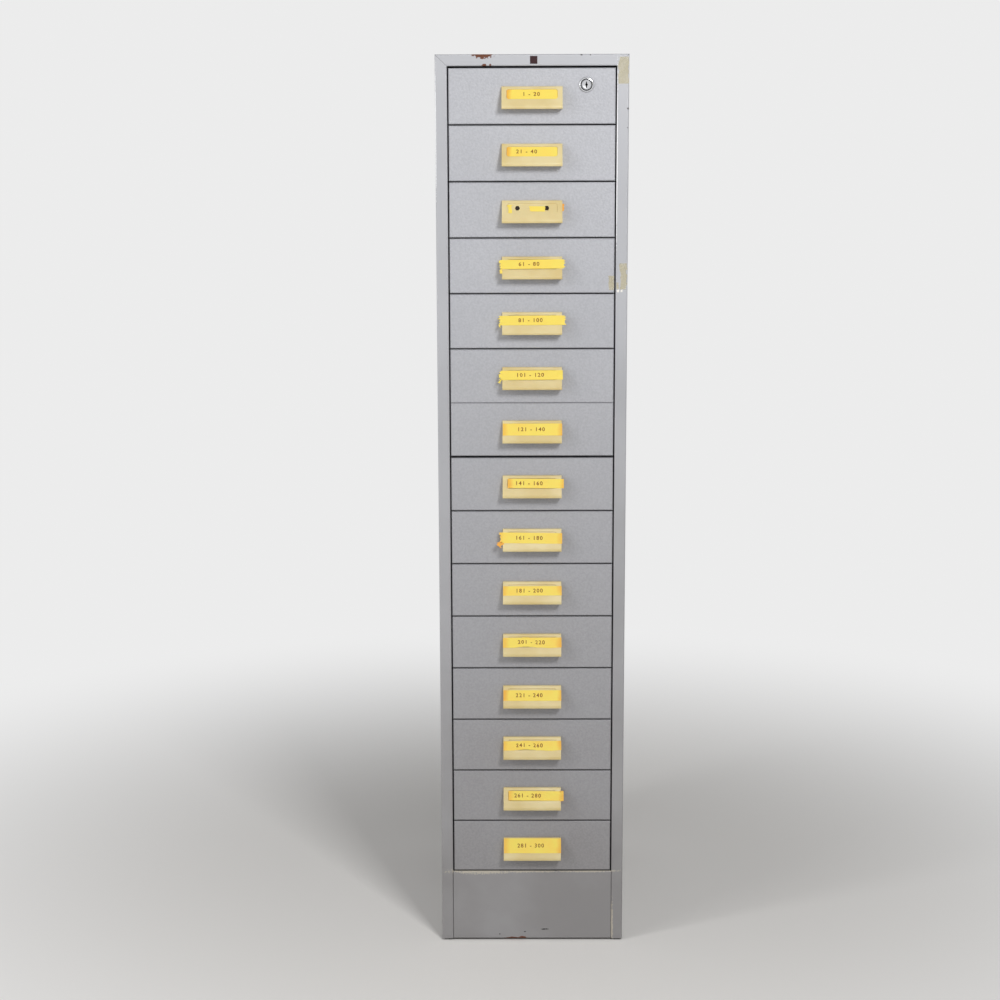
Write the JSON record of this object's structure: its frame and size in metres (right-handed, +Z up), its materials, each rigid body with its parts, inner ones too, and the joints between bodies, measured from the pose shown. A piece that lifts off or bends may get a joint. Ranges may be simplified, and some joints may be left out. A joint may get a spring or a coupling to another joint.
{
  "type": "drawer cabinet",
  "caption": "Tall, narrow sheet-steel cabinet of shallow sliding drawers with moulded label pulls, a cam lock on the top drawer and a plinth; stores paper and forms.",
  "frame": {"origin": "on the floor, under the middle of the whole cabinet with its pulls", "axes": "+Z up, the drawers open towards -Y, +X to the right of someone who stands in front"},
  "size_m": [0.28, 0.4284, 1.3544],
  "materials": {
    "cabinet_paint": "smooth light grey stoved enamel",
    "drawer_paint": "textured light grey stoved enamel",
    "pull_plastic": "aged cream moulded plastic",
    "label_card": "yellow paper card",
    "lock_chrome": "bright chrome plate",
    "lock_steel": "zinc-plated steel",
    "badge_enamel": "dark red enamel",
    "glide_plastic": "black nylon"
  },
  "bodies": {
    "cabinet": {"side_left": "cabinet_paint", "side_right": "cabinet_paint", "top_panel": "cabinet_paint", "back_panel": "cabinet_paint", "base_pan": "cabinet_paint", "plinth": "cabinet_paint", "runners_left": "cabinet_paint", "runners_right": "cabinet_paint", "rear_uprights": "cabinet_paint", "glide_feet": "glide_plastic", "badge_plate": "badge_enamel"},
    "drawer_01": {"drawer_01_box": "drawer_paint", "drawer_01_pull": "pull_plastic", "drawer_01_label": "label_card", "lock_barrel": "lock_chrome", "lock_nut": "lock_steel"},
    "drawer_02": {"drawer_02_box": "drawer_paint", "drawer_02_pull": "pull_plastic", "drawer_02_label": "label_card"},
    "drawer_03": {"drawer_03_box": "drawer_paint", "drawer_03_pull": "pull_plastic", "drawer_03_label": "label_card"},
    "drawer_04": {"drawer_04_box": "drawer_paint", "drawer_04_pull": "pull_plastic", "drawer_04_label": "label_card"},
    "drawer_05": {"drawer_05_box": "drawer_paint", "drawer_05_pull": "pull_plastic", "drawer_05_label": "label_card"},
    "drawer_06": {"drawer_06_box": "drawer_paint", "drawer_06_pull": "pull_plastic", "drawer_06_label": "label_card"},
    "drawer_07": {"drawer_07_box": "drawer_paint", "drawer_07_pull": "pull_plastic", "drawer_07_label": "label_card"},
    "drawer_08": {"drawer_08_box": "drawer_paint", "drawer_08_pull": "pull_plastic", "drawer_08_label": "label_card"},
    "drawer_09": {"drawer_09_box": "drawer_paint", "drawer_09_pull": "pull_plastic", "drawer_09_label": "label_card"},
    "drawer_10": {"drawer_10_box": "drawer_paint", "drawer_10_pull": "pull_plastic", "drawer_10_label": "label_card"},
    "drawer_11": {"drawer_11_box": "drawer_paint", "drawer_11_pull": "pull_plastic", "drawer_11_label": "label_card"},
    "drawer_12": {"drawer_12_box": "drawer_paint", "drawer_12_pull": "pull_plastic", "drawer_12_label": "label_card"},
    "drawer_13": {"drawer_13_box": "drawer_paint", "drawer_13_pull": "pull_plastic", "drawer_13_label": "label_card"},
    "drawer_14": {"drawer_14_box": "drawer_paint", "drawer_14_pull": "pull_plastic", "drawer_14_label": "label_card"},
    "drawer_15": {"drawer_15_box": "drawer_paint", "drawer_15_pull": "pull_plastic", "drawer_15_label": "label_card"},
    "lock_core": {"lock_plug": "lock_chrome", "lock_cam": "lock_steel"}
  },
  "joints": [
    {"name": "drawer_01_slide", "type": "slide", "parent": "cabinet", "child": "drawer_01", "axis": [0, -1, 0], "range_m": [0, 0.33]},
    {"name": "drawer_02_slide", "type": "slide", "parent": "cabinet", "child": "drawer_02", "axis": [0, -1, 0], "range_m": [0, 0.33]},
    {"name": "drawer_03_slide", "type": "slide", "parent": "cabinet", "child": "drawer_03", "axis": [0, -1, 0], "range_m": [0, 0.33]},
    {"name": "drawer_04_slide", "type": "slide", "parent": "cabinet", "child": "drawer_04", "axis": [0, -1, 0], "range_m": [0, 0.33]},
    {"name": "drawer_05_slide", "type": "slide", "parent": "cabinet", "child": "drawer_05", "axis": [0, -1, 0], "range_m": [0, 0.33]},
    {"name": "drawer_06_slide", "type": "slide", "parent": "cabinet", "child": "drawer_06", "axis": [0, -1, 0], "range_m": [0, 0.33]},
    {"name": "drawer_07_slide", "type": "slide", "parent": "cabinet", "child": "drawer_07", "axis": [0, -1, 0], "range_m": [0, 0.33]},
    {"name": "drawer_08_slide", "type": "slide", "parent": "cabinet", "child": "drawer_08", "axis": [0, -1, 0], "range_m": [0, 0.33]},
    {"name": "drawer_09_slide", "type": "slide", "parent": "cabinet", "child": "drawer_09", "axis": [0, -1, 0], "range_m": [0, 0.33]},
    {"name": "drawer_10_slide", "type": "slide", "parent": "cabinet", "child": "drawer_10", "axis": [0, -1, 0], "range_m": [0, 0.33]},
    {"name": "drawer_11_slide", "type": "slide", "parent": "cabinet", "child": "drawer_11", "axis": [0, -1, 0], "range_m": [0, 0.33]},
    {"name": "drawer_12_slide", "type": "slide", "parent": "cabinet", "child": "drawer_12", "axis": [0, -1, 0], "range_m": [0, 0.33]},
    {"name": "drawer_13_slide", "type": "slide", "parent": "cabinet", "child": "drawer_13", "axis": [0, -1, 0], "range_m": [0, 0.33]},
    {"name": "drawer_14_slide", "type": "slide", "parent": "cabinet", "child": "drawer_14", "axis": [0, -1, 0], "range_m": [0, 0.33]},
    {"name": "drawer_15_slide", "type": "slide", "parent": "cabinet", "child": "drawer_15", "axis": [0, -1, 0], "range_m": [0, 0.33]},
    {"name": "lock_turn", "type": "hinge", "parent": "drawer_01", "child": "lock_core", "pos_m": [0.0784, -0.19575, 1.3111], "axis": [0, 1, 0], "range_deg": [0, 90]}
  ]
}
